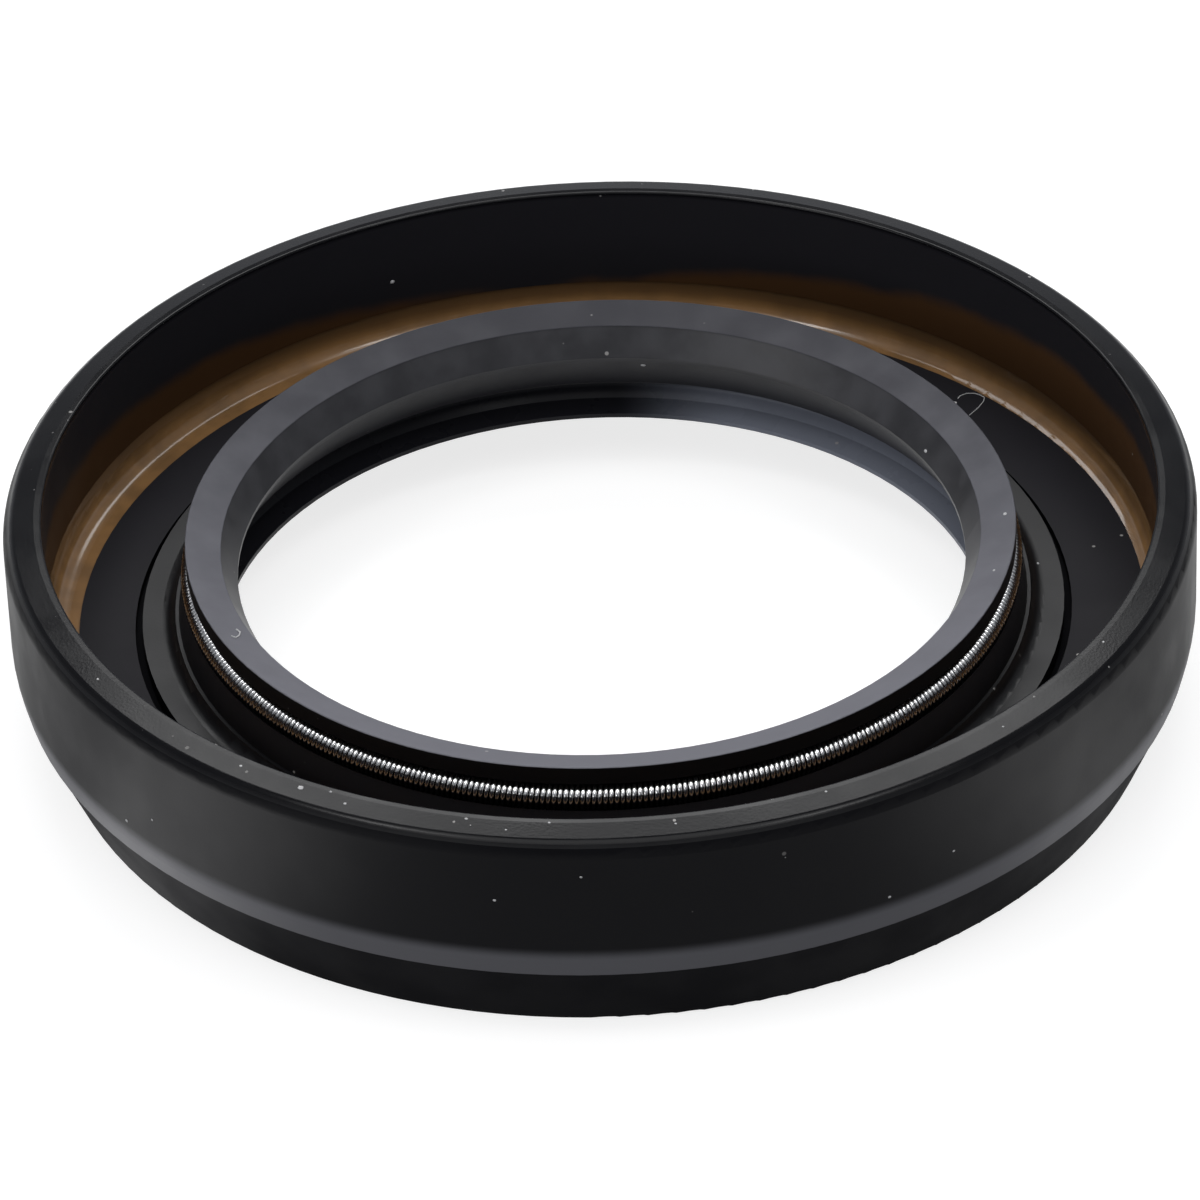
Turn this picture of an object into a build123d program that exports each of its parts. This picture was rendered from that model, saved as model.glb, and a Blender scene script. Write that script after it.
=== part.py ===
from build123d import *
import os

# Radial shaft seal with a sprung sealing lip and a dust lip, for a 40 mm shaft in a 62 mm bore.
# Millimetres. +Z runs along the axis towards the spring side, and the origin is the centre of the
# bottom face. Every section is drawn in the XZ plane as radius and height, and turned about Z.

# Overall
seal_width = 12.5            # bottom face to the crown of the rim
bore_diameter = 62.0         # the housing's bore
press_fit = 0.3              # how much larger than the bore the free rubber cover is
shaft_diameter = 40.0

# Steel case: an L-shaped ring with a rounded bend
cover_thickness = 1.0        # rubber over the outside of the steel
rim_cover = 1.0              # rubber over the top edge of the steel
case_thickness = 0.90
case_floor_z = 4.85          # upper face of the floor
case_bend_radius = 1.05      # inside the bend
edge_cover = 0.24            # rubber over the inner edge of the floor

# Rubber skins that end on the steel
wall_skin_thickness = 0.15
wall_skin_low_thickness = 0.05
wall_skin_low_gap = 1.75     # case floor to the lower end of the skin on the wall
floor_skin_thickness = 0.15
bare_floor_width = 1.20      # steel left bare at the outside of the floor
skin_edge_offset = (0.44, -0.20)    # the floor skin ends on a circle a little off the axis

# Rim
rim_crown_width = 0.40       # the rim is level this far out, then falls
rim_fall = 0.25
rim_chamfer_width = 0.46
rim_chamfer_height = 0.51
rim_land_round = 0.55        # land into chamfer
rim_side_round = 0.80        # chamfer into cover
rim_edge_round = 0.12

# Shoulder and lead-in cone at the lower end of the cover
band_fall = 0.30             # how far the band below the cylinder tapers in
band_height = 1.30
band_round = 4.40
band_step_width = 0.09       # small step at the foot of the band
band_step_height = 0.05
lead_in_height = 4.05
lead_in_width = 1.71

# Foot and the shallow well inside it
foot_width = 2.75
foot_round = 0.25
well_depth = 2.45
well_wall_slope = 0.70
well_round = 0.60

# Sealing edge: a narrow land between the air-side and oil-side cones
lip_interference = 0.90      # how much smaller than the shaft's radius the free lip is
lip_z = 7.90                 # lower end of the land
lip_land = 0.20
air_cone_width = 1.43
air_cone_height = 2.29
oil_cone_width = 0.81
oil_cone_height = 1.58

# Lip head: sloping top and the bead that holds the spring
head_rise = 0.54
bead_height = 1.02
bead_overhang = 0.41         # from the middle of the coil out to the bead's face
head_edge_round = 0.08

# Garter spring and the groove it sits in
coil_radius = 0.75
spring_reach = 2.25          # from the sealing edge out to the middle of the coil
spring_rise = 0.26           # from the lower end of the land up to the middle of the coil
spring_clearance = 0.02
groove_lip_reach = 0.50      # from the middle of the coil out to the flex wall beside it

# Flex wall with its parting ledge, and the hub ring with the pinch groove round it
ledge_reach = 3.22           # from the sealing edge out to the ledge
ledge_width = 0.18
ledge_height = 0.53          # above the hub
flex_foot_slope = 0.25
flex_fillet = 0.75
hub_width = 1.50
hub_rise = 0.60              # above the case floor
groove_width = 0.41
groove_depth = 0.30          # below the case floor

# Recess between the lips
recess_depth = 1.47
recess_drop = 0.66
recess_round = 0.35

# Dust lip
dust_lip_gap = 0.14          # between the dust lip and the shaft
dust_lip_z = 3.54            # lower edge of the tip
dust_lip_land = 0.25
dust_lip_length = 1.11
dust_lip_slope = 0.33        # rise of the upper face from tip to root
dust_under_length = 1.26
dust_under_drop = 0.44
web_slope_width = 0.90


def section(outline):
    """Face in the XZ plane from the closed outline."""
    return make_face(Plane.XZ * outline)


def rounded(face, corners):
    """Round each (radius, height) corner of the section with the size that goes with it."""
    for (corner_r, corner_z), size in corners:
        vertex = face.vertices().sort_by_distance(Vertex(corner_r, 0, corner_z))[0]
        face = fillet(vertex, size)
    return face


# Radii that follow the bore, from the cover inwards
cover_radius = (bore_diameter + press_fit) / 2
case_outer_radius = cover_radius - cover_thickness
case_wall_radius = case_outer_radius - case_thickness
inside_steel_radius = case_wall_radius + case_thickness / 2
skin_edge_radius = case_wall_radius - bare_floor_width
rim_inner_radius = case_wall_radius - wall_skin_thickness
rim_land_radius = cover_radius - rim_chamfer_width
band_foot_radius = cover_radius - band_fall
lead_in_top_radius = band_foot_radius - band_step_width
lead_in_low_radius = lead_in_top_radius - lead_in_width
foot_inner_radius = lead_in_low_radius - foot_width
well_radius = foot_inner_radius - well_wall_slope

# Radii that follow the shaft, from the lips outwards
lip_radius = shaft_diameter / 2 - lip_interference
spring_radius = lip_radius + spring_reach
bead_radius = spring_radius + bead_overhang
air_cone_low_radius = lip_radius + air_cone_width
recess_radius = air_cone_low_radius + recess_depth
ledge_inner_radius = lip_radius + ledge_reach
ledge_outer_radius = ledge_inner_radius + ledge_width
flex_foot_radius = ledge_outer_radius + flex_foot_slope
hub_radius = flex_foot_radius + hub_width
groove_outer_radius = hub_radius + groove_width
case_floor_radius = groove_outer_radius + edge_cover
dust_lip_radius = shaft_diameter / 2 + dust_lip_gap
dust_root_radius = dust_lip_radius + dust_lip_length
dust_under_radius = dust_lip_radius + dust_under_length
web_inner_radius = dust_under_radius + web_slope_width

# Heights
rim_land_z = seal_width - rim_fall
case_top_z = seal_width - rim_cover
floor_skin_z = case_floor_z + floor_skin_thickness
hub_z = case_floor_z + hub_rise
ledge_z = hub_z + ledge_height
band_foot_z = lead_in_height + band_step_height
lip_top_z = lip_z + lip_land
head_inner_z = lip_top_z + oil_cone_height
head_outer_z = head_inner_z + head_rise
spring_z = lip_z + spring_rise
air_cone_low_z = lip_z - air_cone_height
dust_lip_top_z = dust_lip_z + dust_lip_land

# Steel case
bend_centre_r = case_wall_radius - case_bend_radius
bend_centre_z = case_floor_z + case_bend_radius
case_under_z = case_floor_z - case_thickness
outer_bend_radius = case_bend_radius + case_thickness

case_outline = Polyline(
    (bend_centre_r, case_under_z),
    (case_floor_radius, case_under_z),
    (case_floor_radius, case_floor_z),
    (bend_centre_r, case_floor_z),
)
case_outline += CenterArc((bend_centre_r, bend_centre_z), case_bend_radius, -90, 90)
case_outline += Polyline(
    (case_wall_radius, bend_centre_z),
    (case_wall_radius, case_top_z),
    (case_outer_radius, case_top_z),
    (case_outer_radius, bend_centre_z),
)
case_outline += CenterArc((bend_centre_r, bend_centre_z), outer_bend_radius, 0, -90)
steel_case = revolve(section(case_outline), Axis.Z)

# Garter spring, as the smooth ring that its coils fill
coil = Plane.XZ * Pos(spring_radius, spring_z) * Circle(coil_radius)
garter_spring = revolve(coil, Axis.Z)

# Rubber body: one moulded outline that runs through the steel and the coil, which are taken out of it
lead_in_foot = (lead_in_low_radius, 0)
foot_inner_edge = (foot_inner_radius, 0)
band_top = (cover_radius, band_foot_z + band_height)
rim_land_edge = (rim_land_radius, rim_land_z)
rim_side_edge = (cover_radius, rim_land_z - rim_chamfer_height)
rim_inner_edge = (rim_inner_radius, seal_width)
well_corner = (well_radius, well_depth)
recess_corner = (recess_radius, air_cone_low_z - recess_drop)
head_inner_edge = (lip_radius + oil_cone_width, head_inner_z)
head_outer_edge = (bead_radius, head_outer_z)
flex_foot = (flex_foot_radius, hub_z)

body_outline = Polyline(
    # rim, cover, band and lead-in cone
    rim_inner_edge,
    (rim_inner_radius + rim_crown_width, seal_width),
    rim_land_edge,
    rim_side_edge,
    band_top,
    (band_foot_radius, band_foot_z),
    (lead_in_top_radius, lead_in_height),
    lead_in_foot,
    # foot, well and dust lip
    foot_inner_edge,
    well_corner,
    (web_inner_radius, well_depth),
    (dust_under_radius, dust_lip_z - dust_under_drop),
    (dust_lip_radius, dust_lip_z),
    (dust_lip_radius, dust_lip_top_z),
    (dust_root_radius, dust_lip_top_z + dust_lip_slope),
    # recess, air-side cone, sealing edge and oil-side cone
    recess_corner,
    (air_cone_low_radius, air_cone_low_z),
    (lip_radius, lip_z),
    (lip_radius, lip_top_z),
    head_inner_edge,
    # bead, inside of the coil, flex wall and ledge
    head_outer_edge,
    (bead_radius, head_outer_z - bead_height),
    (spring_radius, spring_z + coil_radius),
    (spring_radius + groove_lip_reach, spring_z),
    (ledge_inner_radius, ledge_z),
    (ledge_outer_radius, ledge_z),
    flex_foot,
    # hub ring, pinch groove and the skins that end on the steel
    (hub_radius, hub_z),
    (hub_radius, case_floor_z - groove_depth),
    (groove_outer_radius, case_floor_z - groove_depth),
    (groove_outer_radius, floor_skin_z),
    (inside_steel_radius, floor_skin_z),
    (inside_steel_radius, case_floor_z + wall_skin_low_gap),
    (case_wall_radius - wall_skin_low_thickness, case_floor_z + wall_skin_low_gap),
    close=True,
)

# The well's corner is rounded as far as its flat roof leaves room
well_roof_width = well_radius - web_inner_radius
body_face = rounded(
    section(body_outline),
    [
        (rim_inner_edge, rim_edge_round),
        (rim_land_edge, rim_land_round),
        (rim_side_edge, rim_side_round),
        (band_top, band_round),
        (lead_in_foot, foot_round),
        (foot_inner_edge, foot_round),
        (well_corner, min(well_round, well_roof_width)),
        (recess_corner, recess_round),
        (head_inner_edge, head_edge_round),
        (head_outer_edge, head_edge_round),
        (flex_foot, flex_fillet),
    ],
)
seat = Plane.XZ * Pos(spring_radius, spring_z) * Circle(coil_radius + spring_clearance)

# The floor skin is trimmed to its off-axis edge
skin_base = (Align.CENTER, Align.CENTER, Align.MIN)
skin_trim = Pos(0, 0, case_floor_z) * Cylinder(inside_steel_radius, floor_skin_thickness, align=skin_base)
skin_trim -= Pos(*skin_edge_offset, case_floor_z) * Cylinder(
    skin_edge_radius, floor_skin_thickness, align=skin_base
)

rubber_body = revolve(body_face, Axis.Z) - revolve(seat, Axis.Z) - skin_trim - steel_case

os.makedirs("parts", exist_ok=True)
export_step(rubber_body, "parts/rubber_body.step")
export_step(steel_case, "parts/steel_case.step")
export_step(garter_spring, "parts/garter_spring.step")
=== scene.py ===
# %% [markdown]
# # A radial shaft seal
#
# A rubber-covered lip seal lies on its back with the spring side up. Its solids come in already
# modelled and are never moved or changed. This lesson gives them their finishes, winds the real
# garter spring, settles a little dust on the rubber, and sets up a plain white studio.

# %% Load the solids
import math

import bmesh
import bpy
from mathutils import Matrix, Vector


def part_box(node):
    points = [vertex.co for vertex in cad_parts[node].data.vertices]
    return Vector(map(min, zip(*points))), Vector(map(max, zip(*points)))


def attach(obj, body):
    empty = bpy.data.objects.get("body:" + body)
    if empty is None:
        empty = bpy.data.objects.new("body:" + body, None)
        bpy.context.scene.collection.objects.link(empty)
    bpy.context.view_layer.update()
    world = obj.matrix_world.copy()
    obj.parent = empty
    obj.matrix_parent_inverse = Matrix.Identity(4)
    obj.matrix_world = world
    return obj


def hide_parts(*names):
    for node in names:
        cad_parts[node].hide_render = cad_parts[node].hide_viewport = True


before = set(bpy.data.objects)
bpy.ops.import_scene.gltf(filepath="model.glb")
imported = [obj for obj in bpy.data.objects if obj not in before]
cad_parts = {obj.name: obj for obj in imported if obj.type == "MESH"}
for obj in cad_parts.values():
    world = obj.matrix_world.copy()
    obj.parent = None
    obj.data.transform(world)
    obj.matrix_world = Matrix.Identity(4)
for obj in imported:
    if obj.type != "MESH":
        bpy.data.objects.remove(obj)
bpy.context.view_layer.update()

MM = 0.001
scene = bpy.context.scene
cover_radius, _, seal_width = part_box("rubber_body")[1]
spring_low, spring_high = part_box("garter_spring")
spring_middle = (spring_low[2] + spring_high[2]) / 2
print("the seal is", round(seal_width / MM, 2), "mm wide and", round(2 * cover_radius / MM, 2), "mm across")

# %% [markdown]
# ## Camera
#
# A long lens stands about 42 cm away, so the rings show hardly any perspective. It is placed by
# what it sees: how steeply it looks down, how far it is rolled, and where the middle of the rim
# lies in its view. Turning the camera first and then sliding it back gives its place.

# %% Camera
look_down = math.radians(34.74)
camera_roll = math.radians(-2.254)
rim_in_view = Vector((-0.0715, 5.886, -417.25)) * MM

turn = Matrix.Rotation(math.pi / 2 - look_down, 3, "X") @ Matrix.Rotation(camera_roll, 3, "Z")
camera_place = Vector((0, 0, seal_width)) - turn @ rim_in_view

camera_data = bpy.data.cameras.new("camera")
camera_data.sensor_width = 36
camera_data.lens = 240
camera_data.clip_start = 10 * MM
camera = bpy.data.objects.new("camera", camera_data)
scene.collection.objects.link(camera)
camera.matrix_world = Matrix.Translation(camera_place) @ turn.to_4x4()
scene.camera = camera
print("camera at", [round(v, 4) for v in camera_place])

# %% [markdown]
# ## Small tools for node trees
#
# Every finish here is a procedural one, so a few helpers keep the node code short: put sets or
# links a socket, calc adds a Math step, ramp turns a value into a soft step, between marks a
# range, blend mixes two colours and noise gives a texture value. Two more make a node group and
# place it in a material.


# %% Node helpers
def put(tree, socket, value):
    """Link the value to the socket when it is another socket, and otherwise set it."""
    if isinstance(value, bpy.types.NodeSocket):
        tree.links.new(value, socket)
    else:
        socket.default_value = value


def calc(tree, operation, *values):
    """A Math node's result."""
    step = tree.nodes.new("ShaderNodeMath")
    step.operation = operation
    for socket, value in zip(step.inputs, values):
        put(tree, socket, value)
    return step.outputs[0]


def ramp(tree, value, low, high, to_low=0.0, to_high=1.0):
    """A smooth step from to_low to to_high while the value goes from low to high."""
    step = tree.nodes.new("ShaderNodeMapRange")
    step.interpolation_type = "SMOOTHSTEP"
    for name, given in (("Value", value), ("From Min", low), ("From Max", high),
                        ("To Min", to_low), ("To Max", to_high)):
        put(tree, step.inputs[name], given)
    return step.outputs["Result"]


def between(tree, value, low, high, soft):
    """1 while the value lies between low and high, with soft ends this wide."""
    rise = ramp(tree, value, low - soft / 2, low + soft / 2)
    fall = ramp(tree, value, high - soft / 2, high + soft / 2, 1, 0)
    return calc(tree, "MULTIPLY", rise, fall)


def blend(tree, mask, first, second):
    """First colour where the mask is 0, second where it is 1."""
    mix = tree.nodes.new("ShaderNodeMix")
    mix.data_type = "RGBA"
    put(tree, mix.inputs["Factor"], mask)
    put(tree, mix.inputs["A"], first)
    put(tree, mix.inputs["B"], second)
    return mix.outputs["Result"]


def noise(tree, place, scale, detail=2.0, roughness=0.5):
    """A noise value from 0 to 1; scale is in grains for each metre."""
    step = tree.nodes.new("ShaderNodeTexNoise")
    put(tree, step.inputs["Vector"], place)
    put(tree, step.inputs["Scale"], scale)
    put(tree, step.inputs["Detail"], detail)
    put(tree, step.inputs["Roughness"], roughness)
    return step.outputs["Fac"]


def new_group(name, inputs, outputs):
    """An empty shader node group with its named sockets; returns it with its two end nodes."""
    group = bpy.data.node_groups.new(name, "ShaderNodeTree")
    for label, kind, value in inputs:
        socket = group.interface.new_socket(label, in_out="INPUT", socket_type=kind)
        socket.default_value = value
    for label, kind in outputs:
        group.interface.new_socket(label, in_out="OUTPUT", socket_type=kind)
    return group, group.nodes.new("NodeGroupInput").outputs, group.nodes.new("NodeGroupOutput").inputs


def use_group(tree, group, **values):
    """The outputs of a group placed in a material, with its own values."""
    node = tree.nodes.new("ShaderNodeGroup")
    node.node_tree = group
    for name, value in values.items():
        put(tree, node.inputs[name.replace("_", " ")], value)
    return node.outputs


FLOAT = "NodeSocketFloat"

# %% [markdown]
# ## Where on the ring
#
# The seal is the same all the way round, so nearly every change of finish follows the distance
# from the axis and the height above the floor. Both are worked out once, in millimetres, from
# Object coordinates. Side is the distance to the right of the axis, and Depth the distance
# behind it, for the few marks that lie on one side only.

# %% Ring place group
ring_place, _, ring_out = new_group(
    "ring place", [], [("Radius", FLOAT), ("Height", FLOAT), ("Side", FLOAT), ("Depth", FLOAT)])
place = ring_place.nodes.new("ShaderNodeTexCoord").outputs["Object"]
apart = ring_place.nodes.new("ShaderNodeSeparateXYZ")
put(ring_place, apart.inputs[0], place)
x, y, z = [calc(ring_place, "DIVIDE", axis, MM) for axis in apart.outputs]
square = calc(ring_place, "ADD", calc(ring_place, "MULTIPLY", x, x), calc(ring_place, "MULTIPLY", y, y))
put(ring_place, ring_out["Radius"], calc(ring_place, "SQRT", square))
put(ring_place, ring_out["Height"], z)
put(ring_place, ring_out["Side"], x)
put(ring_place, ring_out["Depth"], y)

# %% [markdown]
# ## Dust and grain
#
# Rubber holds dust: pale specks far smaller than a millimetre, in loose drifts. Cells of a Voronoi
# texture make the specks, and a slow noise decides where they gather. The grain group gives the
# fine height that keeps a moulded surface from looking like glass, and a broad shade for mottling.

# %% Dust group
drift_grains = 90.0               # for each metre
drift_from, drift_to = 0.42, 0.68
speck_spread = 0.12               # in widths of a cell, as the edge
speck_soft_edge = 0.06

dust, dust_in, dust_out = new_group(
    "dust", [("Scale", FLOAT, 1200.0), ("Amount", FLOAT, 0.2)], [("Mask", FLOAT)])
place = dust.nodes.new("ShaderNodeTexCoord").outputs["Object"]
cells = dust.nodes.new("ShaderNodeTexVoronoi")
put(dust, cells.inputs["Vector"], place)
put(dust, cells.inputs["Scale"], dust_in["Scale"])
speck_pick = dust.nodes.new("ShaderNodeSeparateColor")
put(dust, speck_pick.inputs[0], cells.outputs["Color"])
drift = ramp(dust, noise(dust, place, drift_grains), drift_from, drift_to)
share = calc(dust, "MULTIPLY", dust_in["Amount"], drift)
chosen = ramp(dust, speck_pick.outputs[0], calc(dust, "SUBTRACT", 1.0, share), 1.0)
speck_size = calc(dust, "MULTIPLY", speck_pick.outputs[1], speck_spread)
speck_edge = calc(dust, "ADD", speck_size, speck_soft_edge)
round_speck = ramp(dust, cells.outputs["Distance"], speck_size, speck_edge, 1, 0)
put(dust, dust_out["Mask"], calc(dust, "MULTIPLY", chosen, round_speck))

# %% Grain group
grain, grain_in, grain_out = new_group(
    "moulded grain",
    [("Fine", FLOAT, 7000.0), ("Broad", FLOAT, 300.0)],
    [("Height", FLOAT), ("Shade", FLOAT)])
place = grain.nodes.new("ShaderNodeTexCoord").outputs["Object"]
put(grain, grain_out["Height"], noise(grain, place, grain_in["Fine"], 1.0))
put(grain, grain_out["Shade"], noise(grain, place, grain_in["Broad"], 3.0))

# %% [markdown]
# ## Cover rubber
#
# The body is one moulding of carbon-black rubber, but it doesn't shine the same all over. One
# glossy material for all of it would be simpler, and would make the outer wall look like plastic.
# The cover takes little light, so its specular level is low. The land on the rim comes from the
# smoothest part of the mould, so it is glossier, and it holds most of the dust. The band above the
# cone is painted pale grey as a painted highlight. Inside, the rubber is painted a lighter grey as
# painted fill light, and on the wall it turns brown below a ragged edge that rises to each side.

# %% Cover rubber material
def start_material(name, **sockets):
    """A material with a Principled shader whose sockets are set to plain values."""
    made = bpy.data.materials.new(name)
    made.use_nodes = True
    shader = made.node_tree.nodes["Principled BSDF"]
    for socket, value in sockets.items():
        shader.inputs[socket.replace("_", " ")].default_value = value
    return made, made.node_tree, shader


def add_bump(tree, shader, height, depth):
    """Fine relief, this deep in millimetres."""
    bump = tree.nodes.new("ShaderNodeBump")
    bump.inputs["Distance"].default_value = depth * MM
    bump.inputs["Strength"].default_value = 0.3
    put(tree, bump.inputs["Height"], height)
    put(tree, shader.inputs["Normal"], bump.outputs[0])


def mottled(tree, marks, at_least, at_most):
    """A value that drifts between the two with the broad shade of the grain."""
    return ramp(tree, marks["Shade"], 0.3, 0.7, at_least, at_most)


def dusted(tree, shader, colour, amount):
    """Lay this much fine dust over the colour, and give both to the shader."""
    specks = use_group(tree, dust, Scale=dust_scale, Amount=amount)
    put(tree, shader.inputs["Base Color"], blend(tree, specks["Mask"], colour, dust_grey))


moulded_grains = 7000.0           # for each metre, as the next three
cover_shade_grains = 260.0
lip_shade_grains = 420.0
dust_scale = 1300.0
mould_relief = 0.008              # millimetres

rubber_black = (0.0029, 0.0029, 0.0039, 1)
# painted highlight: the band above the cone is painted this pale grey
band_highlight_grey = (0.108, 0.108, 0.119, 1)
# painted fill light: the inside of the cover is painted this lighter grey, where less light reaches
painted_fill_grey = (0.0160, 0.0155, 0.0185, 1)
# the rubber on the inner wall turns this brown below a ragged edge
lower_wall_brown = (0.062, 0.030, 0.0125, 1)
dust_grey = (0.39, 0.38, 0.37, 1)

# Where the rubber on the inner wall turns brown, in millimetres: lowest a little left of the axis
lowest_brown_side = -3.5
lowest_brown_height = 6.15
brown_rise = 0.118             # for each millimetre sideways
raggedness = 1.2

cover_rubber, tree, shader = start_material("cover_rubber", Specular_IOR_Level=0.07)
ring = use_group(tree, ring_place)
marks = use_group(tree, grain, Fine=moulded_grains, Broad=cover_shade_grains)

# the band above the cone, painted pale grey as a painted highlight
outside = ramp(tree, ring["Radius"], 30.3, 30.6)
above_cone = ramp(tree, ring["Height"], 4.07, 4.13)
below_cylinder = ramp(tree, ring["Height"], 5.15, 5.95, 1, 0)
painted_highlight_band = calc(tree, "MULTIPLY", calc(tree, "MULTIPLY", above_cone, outside), below_cylinder)

sideways = calc(tree, "ABSOLUTE", calc(tree, "SUBTRACT", ring["Side"], lowest_brown_side))
brown_from = calc(tree, "ADD", calc(tree, "MULTIPLY", sideways, brown_rise), lowest_brown_height)
ragged = calc(tree, "MULTIPLY", calc(tree, "SUBTRACT", marks["Shade"], 0.5), raggedness)
above_end = calc(tree, "SUBTRACT", ring["Height"], calc(tree, "ADD", brown_from, ragged))
near_wall = between(tree, ring["Radius"], 28.7, 29.5, 0.2)
on_wall = calc(tree, "MULTIPLY", near_wall, ramp(tree, ring["Height"], 5.1, 5.3))
# brown below the ragged edge on the inner wall
through = calc(tree, "MULTIPLY", ramp(tree, above_end, -0.5, 0.5, 1, 0), on_wall)

below_rim = ramp(tree, ring["Height"], 12.15, 12.4, 1, 0)
inside = calc(tree, "MULTIPLY", ramp(tree, ring["Radius"], 29.25, 29.4, 1, 0), below_rim)
# painted fill light: lighter grey inside the cup
colour = blend(tree, inside, rubber_black, painted_fill_grey)
colour = blend(tree, painted_highlight_band, colour, band_highlight_grey)
colour = blend(tree, through, colour, lower_wall_brown)
dusted(tree, shader, colour, ramp(tree, ring["Height"], 12.0, 12.3, 0.10, 0.95))

smoother_rim = ramp(tree, ring["Height"], 11.9, 12.3, 0, 0.25)
rough = calc(tree, "SUBTRACT", mottled(tree, marks, 0.40, 0.48), smoother_rim)
put(tree, shader.inputs["Roughness"], rough)
add_bump(tree, shader, marks["Height"], mould_relief)
print("cover rubber:", len(tree.nodes), "nodes")


def with_specular(material, name, level):
    """A copy of the material that differs only in its specular level."""
    made = material.copy()
    made.name = name
    made.node_tree.nodes["Principled BSDF"].inputs["Specular IOR Level"].default_value = level
    return made


land_rubber = with_specular(cover_rubber, "land_rubber", 0.23)

# %% [markdown]
# ## Lip rubber
#
# The lips, the flex wall and the hub come from a polished core, so they shine more than the cover.
# The oil-side cone under the lip head carries a pale bloom that is wiped thin in places. Below the
# sealing edge the rubber is duller and has only a trace of it, and one side of the dust lip is
# painted a pale bluish grey as a painted highlight.

# %% Lip rubber material
bloom_grey = (0.047, 0.047, 0.052, 1)
air_side_grey = (0.012, 0.012, 0.015, 1)
# painted highlight: one side of the dust lip is painted this pale bluish grey
dust_lip_highlight_grey = (0.195, 0.210, 0.254, 1)
lip_dust = 0.14

lip_rubber, tree, shader = start_material("lip_rubber", Specular_IOR_Level=0.35)
ring = use_group(tree, ring_place)
marks = use_group(tree, grain, Fine=moulded_grains, Broad=lip_shade_grains)

under_head = ramp(tree, ring["Radius"], 19.85, 19.95, 1, 0)
oil_cone = calc(tree, "MULTIPLY", under_head, between(tree, ring["Height"], 8.05, 9.7, 0.3))
bloom = calc(tree, "MULTIPLY", oil_cone, mottled(tree, marks, 0.55, 1.0))
on_lips = ramp(tree, ring["Radius"], 22.0, 22.4, 1, 0)
polished = calc(tree, "MULTIPLY", on_lips, ramp(tree, ring["Height"], 5.3, 5.6, 1, 0))

air_side = calc(tree, "MULTIPLY", on_lips, ramp(tree, ring["Height"], 7.9, 8.1, 1, 0))
on_one_side = ramp(tree, ring["Side"], 1.0, 8.0)
# painted highlight on one side of the dust lip
painted_highlight_side = calc(tree, "MULTIPLY", ramp(tree, ring["Height"], 4.6, 4.9, 1, 0), on_one_side)
colour = blend(tree, air_side, rubber_black, air_side_grey)
colour = blend(tree, painted_highlight_side, colour, dust_lip_highlight_grey)
colour = blend(tree, bloom, colour, bloom_grey)
dusted(tree, shader, colour, lip_dust)
smoother = calc(tree, "MULTIPLY", polished, 0.12)
put(tree, shader.inputs["Roughness"], calc(tree, "SUBTRACT", mottled(tree, marks, 0.36, 0.44), smoother))
add_bump(tree, shader, marks["Height"], mould_relief)
print("lip rubber:", len(tree.nodes), "nodes")

air_side_rubber = with_specular(lip_rubber, "air_side_rubber", 0.12)

# %% [markdown]
# ## Trimmed rubber
#
# The sloping face of the lip head is trimmed with a knife, which leaves it dull and grey. Its grey
# is painted paler towards the front and darker towards the back, in loose patches: painted sheen.

# %% Trimmed rubber material
# painted sheen: the cut face goes from the first grey at the back to the paler second at the front
back_side_grey = (0.035, 0.035, 0.042, 1)
front_sheen_grey = (0.172, 0.172, 0.195, 1)
sheen_from, sheen_to = -22, 24    # millimetres behind the axis
patchiness = 12.0                 # how far its patches shift that, in millimetres

trimmed_rubber, tree, shader = start_material("trimmed_rubber", Specular_IOR_Level=0.15)
ring = use_group(tree, ring_place)
marks = use_group(tree, grain, Fine=moulded_grains, Broad=lip_shade_grains)
patchy = calc(tree, "MULTIPLY", calc(tree, "SUBTRACT", marks["Shade"], 0.5), patchiness)
# painted sheen: paler towards the front
painted_front_sheen = ramp(tree, calc(tree, "ADD", ring["Depth"], patchy), sheen_from, sheen_to, 1, 0)
dusted(tree, shader, blend(tree, painted_front_sheen, back_side_grey, front_sheen_grey), lip_dust)
put(tree, shader.inputs["Roughness"], mottled(tree, marks, 0.48, 0.56))
add_bump(tree, shader, marks["Height"], mould_relief)

# %% [markdown]
# ## Foot rubber
#
# The cone, the foot and the narrow pinch groove are the same rubber from parts of the mould that
# were left dull, so they take hardly any light.

# %% Foot rubber material
foot_rubber, tree, shader = start_material("foot_rubber", Specular_IOR_Level=0.03)
marks = use_group(tree, grain, Fine=moulded_grains, Broad=cover_shade_grains)
dusted(tree, shader, rubber_black, 0.10)
put(tree, shader.inputs["Roughness"], mottled(tree, marks, 0.64, 0.74))
add_bump(tree, shader, marks["Height"], mould_relief)

# %% [markdown]
# ## Coated steel
#
# The case is stamped steel with a brown bonding coat, thin and glossy. Its colour follows the height:
# paler in the bend and darker up the wall, which is painted shade, with a slow mottling.

# %% Coated steel material
coat_floor_brown = (0.273, 0.146, 0.055, 1)
# painted shade: the darker brown up the wall, also used for thin patches of the coat
thin_and_shaded_brown = (0.101, 0.056, 0.023, 1)
coat_ripple = 0.02                # millimetres

coated_steel, tree, shader = start_material(
    "coated_steel", Specular_IOR_Level=0.2, Coat_Weight=1.0, Coat_Roughness=0.10)
ring = use_group(tree, ring_place)
marks = use_group(tree, grain, Broad=lip_shade_grains)
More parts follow.
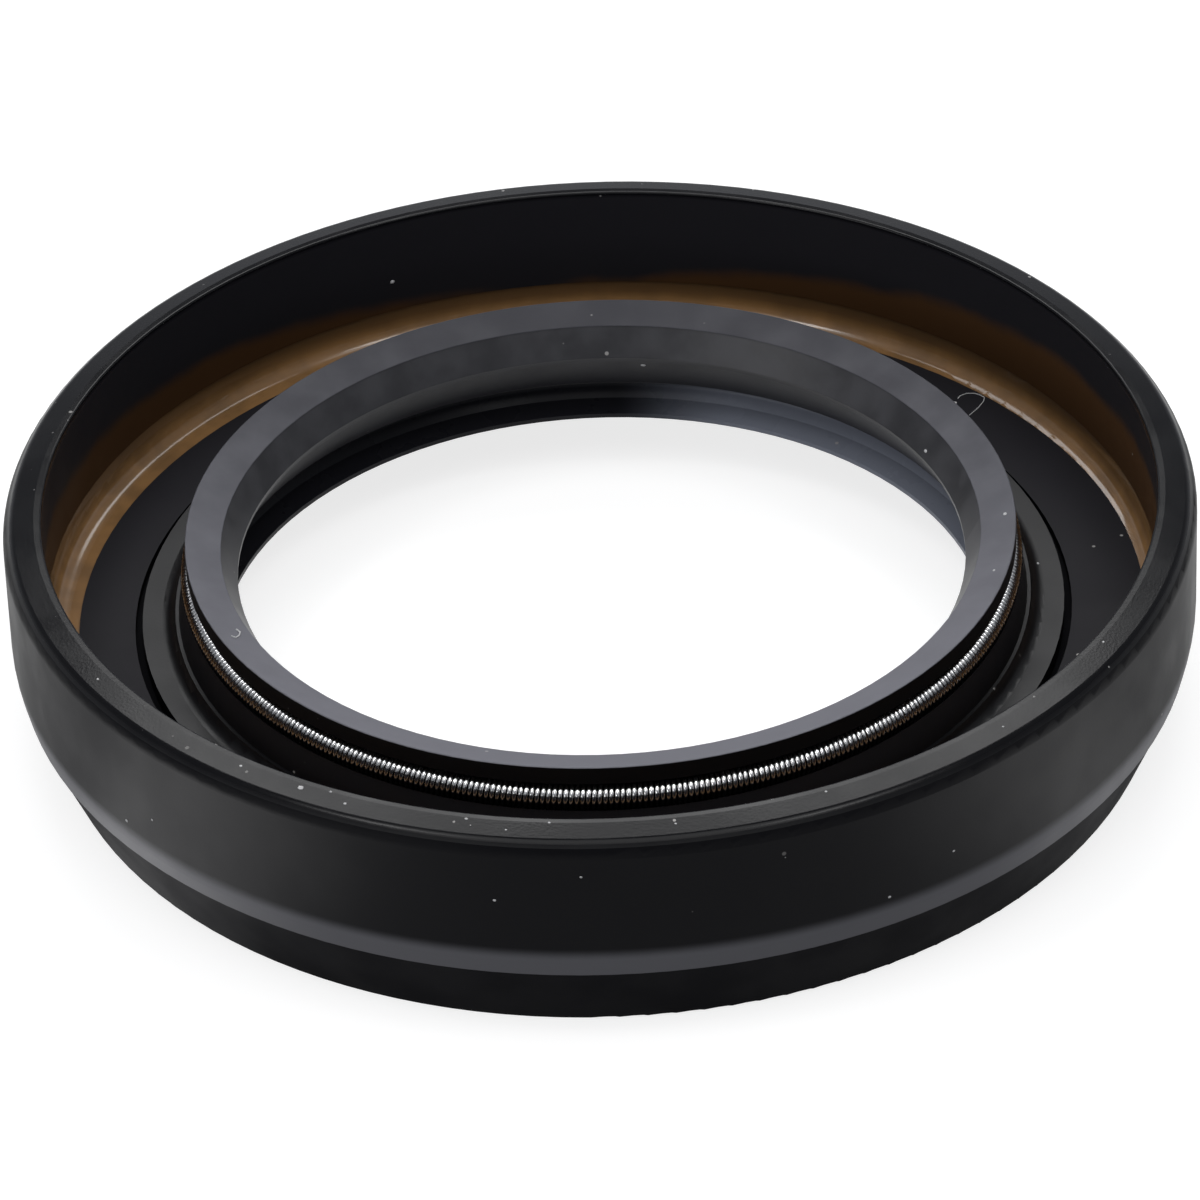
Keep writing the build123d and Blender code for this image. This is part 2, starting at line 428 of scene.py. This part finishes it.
# painted shade: darker brown up the wall
up_the_wall = ramp(tree, ring["Height"], 5.0, 6.6)
thin_patches = ramp(tree, marks["Shade"], 0.35, 0.7, 0.0, 0.45)
colour = blend(tree, up_the_wall, coat_floor_brown, thin_and_shaded_brown)
dusted(tree, shader, blend(tree, thin_patches, colour, thin_and_shaded_brown), 0.12)
put(tree, shader.inputs["Roughness"], mottled(tree, marks, 0.28, 0.40))
add_bump(tree, shader, marks["Shade"], coat_ripple)

# %% [markdown]
# ## Spring wire
#
# Drawn steel wire is bright and bare, a little duller where it has worn. The lower half of the
# spring is painted nearly black, as painted shade.

# %% Spring wire material
bright_steel = (0.97, 0.97, 0.97, 1)
worn_steel = (0.88, 0.88, 0.89, 1)
# painted shade: the lower half of the spring is painted nearly black
painted_shade_black = (0.016, 0.016, 0.017, 1)

spring_wire, tree, shader = start_material("spring_wire", Metallic=1.0)
ring = use_group(tree, ring_place)
marks = use_group(tree, grain, Broad=500.0)
colour = blend(tree, ramp(tree, marks["Shade"], 0.35, 0.7), bright_steel, worn_steel)
over_middle = calc(tree, "SUBTRACT", ring["Height"], spring_middle / MM)
# painted shade on the lower half of the spring
lower_half_shade = ramp(tree, over_middle, -0.04, 0.20, 1, 0)
put(tree, shader.inputs["Base Color"], blend(tree, lower_half_shade, colour, painted_shade_black))
put(tree, shader.inputs["Roughness"], mottled(tree, marks, 0.14, 0.20))

# %% [markdown]
# ## Dress the solids
#
# Each finish goes on its solid. The meshes stay as they are, and only their material slots change.
# The rubber body has six slots, and each of its faces takes one by where its middle lies. The
# limits lie between two rows of faces, because a limit across a row leaves a saw-toothed edge. One
# such edge is left, out of sight: the groove's limits have no lowest height, so they also catch
# part of the well's ceiling, underneath.

# %% Dress the solids
def dress(node, finishes, choose=None):
    """Give the node its finishes, and each face the first, or the one that choose picks."""
    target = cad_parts[node]
    target.data.materials.clear()
    for finish in finishes:
        target.data.materials.append(finish)
    for face in target.data.polygons:
        face.material_index = finishes.index(choose(face.center)) if choose else 0


# Edges of the section where one finish of the rubber meets the next, in millimetres
rim_from_height = 12.0
head_from_radius, head_to_radius, head_from_height = 19.88, 21.74, 9.5
groove_from_radius, groove_to_radius, groove_to_height = 24.18, 24.7, 5.35
air_cone_to_radius, air_cone_to_height = 20.6, 7.93
recess_to_radius, recess_to_height = 22.2, 5.6
hub_to_radius = 24.6
cone_to_height = 4.06


def rubber_finish(centre):
    """The finish for a face of the rubber that has its middle here."""
    radius, height = centre.xy.length / MM, centre.z / MM
    if height > rim_from_height:
        return land_rubber
    if head_from_radius < radius < head_to_radius and height > head_from_height:
        return trimmed_rubber
    if groove_from_radius < radius < groove_to_radius and height < groove_to_height:
        return foot_rubber
    if radius < air_cone_to_radius and height < air_cone_to_height:
        return air_side_rubber
    if radius < recess_to_radius and height < recess_to_height:
        return air_side_rubber
    if radius < hub_to_radius:
        return lip_rubber
    return foot_rubber if height < cone_to_height else cover_rubber


rubbers = [cover_rubber, lip_rubber, foot_rubber, trimmed_rubber, land_rubber, air_side_rubber]
dress("rubber_body", rubbers, rubber_finish)
dress("steel_case", [coated_steel])

# %% [markdown]
# ## Garter spring
#
# The spring that squeezes the lip on the shaft is one close-wound coil joined into a ring. The
# solid is only the smooth ring that the coils fill. A helix could be made by spinning one turn and
# copying it, but then every copy has to be joined to the next. One closed curve with a round bevel
# is the wire itself, so its points are worked out along the ring and the curve becomes a mesh. The
# wire is a little thinner than the pitch, so that the dark line between two coils stays open.

# %% Garter spring
def strand(name, points, thickness, finish, closed=False):
    """A round strand through the points, as a mesh piece that rides with the seal."""
    data = bpy.data.curves.new(name + "_line", "CURVE")
    data.dimensions = "3D"
    data.bevel_depth = thickness / 2
    data.bevel_resolution = 1
    data.use_fill_caps = not closed
    line = data.splines.new("POLY")
    line.points.add(len(points) - 1)
    for point, spot in zip(line.points, points):
        point.co = (*spot, 1)
    line.use_cyclic_u = closed
    drawn = bpy.data.objects.new(name + "_line", data)
    scene.collection.objects.link(drawn)
    bpy.context.view_layer.update()
    mesh = bpy.data.meshes.new_from_object(drawn.evaluated_get(bpy.context.evaluated_depsgraph_get()))
    bpy.data.objects.remove(drawn)
    for face in mesh.polygons:
        face.use_smooth = True
    mesh.materials.clear()
    mesh.materials.append(finish)
    piece = bpy.data.objects.new(name, mesh)
    scene.collection.objects.link(piece)
    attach(piece, "root")
    print(name, len(mesh.polygons), "faces")
    return piece


coil_radius = (spring_high[2] - spring_low[2]) / 2
ring_radius = spring_high[0] - coil_radius
wire_thickness = 0.244 * MM
turns = 476
points_in_turn = 12
winding_radius = coil_radius - wire_thickness / 2

coil_points = []
for index in range(turns * points_in_turn):
    around_coil = 2 * math.pi * index / points_in_turn
    around_ring = around_coil / turns
    reach = ring_radius + winding_radius * math.cos(around_coil)
    height = spring_middle + winding_radius * math.sin(around_coil)
    coil_points.append((reach * math.cos(around_ring), reach * math.sin(around_ring), height))

spring = strand("garter_spring_coil", coil_points, wire_thickness, spring_wire, closed=True)
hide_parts("garter_spring")

# %% [markdown]
# ## Dust flecks and a fibre
#
# Handling leaves a few flecks large enough to see one by one, a fibre and a curl of lint. Each
# fleck is a flattened ball with its own size and place, given by its angle round the seal, its
# distance from the axis and its height, and it is set on the nearest point of the rubber. The
# fibre and the curl are thin strands.

# %% Dust material
light_dust = (0.65, 0.65, 0.65, 1)
dull_dust = (0.36, 0.36, 0.37, 1)

pale_dust, tree, shader = start_material("pale_dust", Roughness=0.8, Specular_IOR_Level=0.2)
marks = use_group(tree, grain, Broad=1500.0)
put(tree, shader.inputs["Base Color"], blend(tree, marks["Shade"], light_dust, dull_dust))

# %% Dust flecks
rubber_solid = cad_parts["rubber_body"]


def on_rubber(angle, radius, height):
    """The point of the rubber nearest to this one, and the way it faces; degrees and millimetres."""
    turned = math.radians(angle)
    near = Vector((radius * math.cos(turned), radius * math.sin(turned), height)) * MM
    _, spot, facing, _ = rubber_solid.closest_point_on_mesh(near)
    return spot, facing


flecks_on_rim = [
    (239, 29.8, 0.26), (242, 29.5, 0.12), (244, 30.0, 0.14), (256, 29.6, 0.14), (260, 30.1, 0.10),
    (264, 29.5, 0.12), (232, 29.8, 0.14), (211, 30.0, 0.12), (328, 29.7, 0.12), (311, 30.0, 0.10),
    (291, 29.6, 0.12), (276, 29.9, 0.10)]
flecks_on_wall = [
    (218, 6.2, 0.16), (222, 7.4, 0.12), (259, 8.8, 0.14), (267, 10.4, 0.12), (296, 6.1, 0.14),
    (303, 7.4, 0.12)]
flecks_inside = [
    (82, 19.3, 7.5, 0.24), (25, 19.3, 8.5, 0.20), (345, 21.0, 10.0, 0.14), (359, 21.2, 10.0, 0.20),
    (4, 23.1, 5.5, 0.14), (42.6, 26.6, 5.0, 0.22), (112, 29.1, 8.5, 0.22)]
rim_height = 12.5
wall_radius = 31.2
fleck_radius = 0.7                # for a size of 1 in the lists
fleck_width, fleck_thickness = 0.8, 0.35    # for a length of 1

flecks = [(angle, radius, rim_height, size) for angle, radius, size in flecks_on_rim]
flecks += [(angle, wall_radius, height, size) for angle, height, size in flecks_on_wall]
flecks += flecks_inside

fleck_shape = bmesh.new()
flat = Matrix.Diagonal((1.0, fleck_width, fleck_thickness, 1.0))
for angle, radius, height, size in flecks:
    spot, facing = on_rubber(angle, radius, height)
    lie = Matrix.Translation(spot) @ facing.to_track_quat("Z", "Y").to_matrix().to_4x4()
    bmesh.ops.create_icosphere(
        fleck_shape, subdivisions=1, radius=fleck_radius * size * MM, matrix=lie @ flat)
fleck_mesh = bpy.data.meshes.new("dust_flecks")
fleck_shape.to_mesh(fleck_mesh)
fleck_shape.free()
fleck_mesh.materials.append(pale_dust)
dust_flecks = bpy.data.objects.new("dust_flecks", fleck_mesh)
scene.collection.objects.link(dust_flecks)
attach(dust_flecks, "root")
print("dust_flecks:", len(flecks), "flecks,", len(fleck_mesh.polygons), "faces")

# %% Lint
lint_thickness = 0.05 * MM


def laid(places):
    """Points just over the rubber at these angles, radii and heights."""
    return [spot + facing * lint_thickness / 2 for spot, facing in (on_rubber(*place) for place in places)]


fibre_places = [(42.9, 27.0, 5), (43.1, 27.3, 5), (42.9, 27.7, 5), (42.3, 28.0, 5), (41.6, 28.1, 5),
                (40.9, 28.1, 5), (40.4, 27.8, 5), (39.9, 27.2, 5), (39.4, 26.3, 5)]
curl_places = [(202.7, 20.5, 10), (203.5, 20.4, 10), (204.4, 20.6, 10), (205.0, 20.9, 10),
               (204.5, 21.1, 10)]
strand("lint_fibre", laid(fibre_places), lint_thickness, pale_dust)
strand("lint_curl", laid(curl_places), 2 * lint_thickness, pale_dust)

# %% [markdown]
# ## Studio
#
# A plain white floor runs far behind the seal. It is white mostly by its own glow, to the camera
# and in reflections alike, and its paint is only a light grey, so the seal's soft shadow stays
# faint. In reflections two pools in front, left and right, are brighter still, as on a table lit
# by two lamps: they put the broad soft sheen on the left and the right of the round outer wall.

# %% Floor
floor_reach = 3.0
floor_grey = (0.4, 0.4, 0.4, 1)
floor_glow = 0.78
left_glow, right_glow = 2.6, 1.6
floor_shape = bmesh.new()
bmesh.ops.create_grid(floor_shape, x_segments=1, y_segments=1, size=floor_reach)
floor_mesh = bpy.data.meshes.new("floor")
floor_shape.to_mesh(floor_mesh)
floor_shape.free()
floor = bpy.data.objects.new("floor", floor_mesh)
scene.collection.objects.link(floor)

floor_paint = bpy.data.materials.new("floor_paint")
floor_paint.use_nodes = True
tree = floor_paint.node_tree
tree.nodes.remove(tree.nodes["Principled BSDF"])
matte = tree.nodes.new("ShaderNodeBsdfDiffuse")
matte.inputs["Color"].default_value = floor_grey
glow = tree.nodes.new("ShaderNodeEmission")
path = tree.nodes.new("ShaderNodeLightPath")
where = tree.nodes.new("ShaderNodeSeparateXYZ")
put(tree, where.inputs[0], tree.nodes.new("ShaderNodeTexCoord").outputs["Object"])
left_pool = ramp(tree, where.outputs["X"], -30 * MM, -16 * MM, left_glow, 0)
right_pool = ramp(tree, where.outputs["X"], 20 * MM, 34 * MM, 0, right_glow)
in_front = between(tree, where.outputs["Y"], -42 * MM, -15 * MM, 10 * MM)
pools = calc(tree, "MULTIPLY", calc(tree, "ADD", left_pool, right_pool), in_front)
pools = calc(tree, "MULTIPLY", pools, path.outputs["Is Glossy Ray"])
seen = calc(tree, "MAXIMUM", path.outputs["Is Camera Ray"], path.outputs["Is Glossy Ray"])
seen = calc(tree, "MAXIMUM", seen, path.outputs["Is Transmission Ray"])
put(tree, glow.inputs["Strength"], calc(tree, "MULTIPLY_ADD", seen, floor_glow, pools))
both = tree.nodes.new("ShaderNodeAddShader")
put(tree, both.inputs[0], matte.outputs[0])
put(tree, both.inputs[1], glow.outputs[0])
put(tree, tree.nodes["Material Output"].inputs["Surface"], both.outputs[0])
floor_mesh.materials.append(floor_paint)

# %% [markdown]
# ## World and lamps
#
# The room is brightest near the horizon. A large softbox stands close behind the seal and high up,
# so that the front of the rim mirrors it and the sides don't. The smaller lamps give the oil-side
# cone its sheen, the bend of the steel its bright line and the spring its white coils.

# %% World and lamps
cool_white = (0.91, 0.94, 1.0, 1)
horizon_strength, sky_strength = 0.54, 0.22

world = bpy.data.worlds.new("world")
world.use_nodes = True
tree = world.node_tree
background = tree.nodes["Background"]
background.inputs["Color"].default_value = cool_white
sky = tree.nodes.new("ShaderNodeSeparateXYZ")
put(tree, sky.inputs[0], tree.nodes.new("ShaderNodeTexCoord").outputs["Generated"])
climbing = ramp(tree, sky.outputs["Z"], 0.15, 0.5, horizon_strength, sky_strength)
put(tree, background.inputs["Strength"], climbing)
scene.world = world


def softbox(name, compass, climb, wide, tall, radiance, distance=0.6):
    """A rectangular lamp aimed at the seal, placed and sized by its angles in degrees."""
    data = bpy.data.lights.new(name, "AREA")
    data.shape = "RECTANGLE"
    data.size = 2 * distance * math.tan(math.radians(wide / 2))
    data.size_y = 2 * distance * math.tan(math.radians(tall / 2))
    data.energy = radiance * math.pi * data.size * data.size_y
    away = Vector((math.cos(math.radians(climb)), 0, math.sin(math.radians(climb))))
    away.rotate(Matrix.Rotation(math.radians(compass), 3, "Z"))
    lamp = bpy.data.objects.new(name, data)
    scene.collection.objects.link(lamp)
    lamp.location = Vector((0, 0, seal_width)) + distance * away
    lamp.rotation_euler = away.to_track_quat("Z", "Y").to_euler()


softbox("high_back", compass=90, climb=52, wide=46, tall=30, radiance=3.6, distance=0.22)
softbox("left_front", compass=220, climb=16, wide=34, tall=20, radiance=2.2)
softbox("high_left", compass=205, climb=62, wide=12, tall=12, radiance=6)
softbox("high_right", compass=332, climb=62, wide=12, tall=12, radiance=4.5)
softbox("overhead", compass=270, climb=73, wide=60, tall=44, radiance=1.4, distance=0.4)

scene.view_settings.view_transform = "Standard"
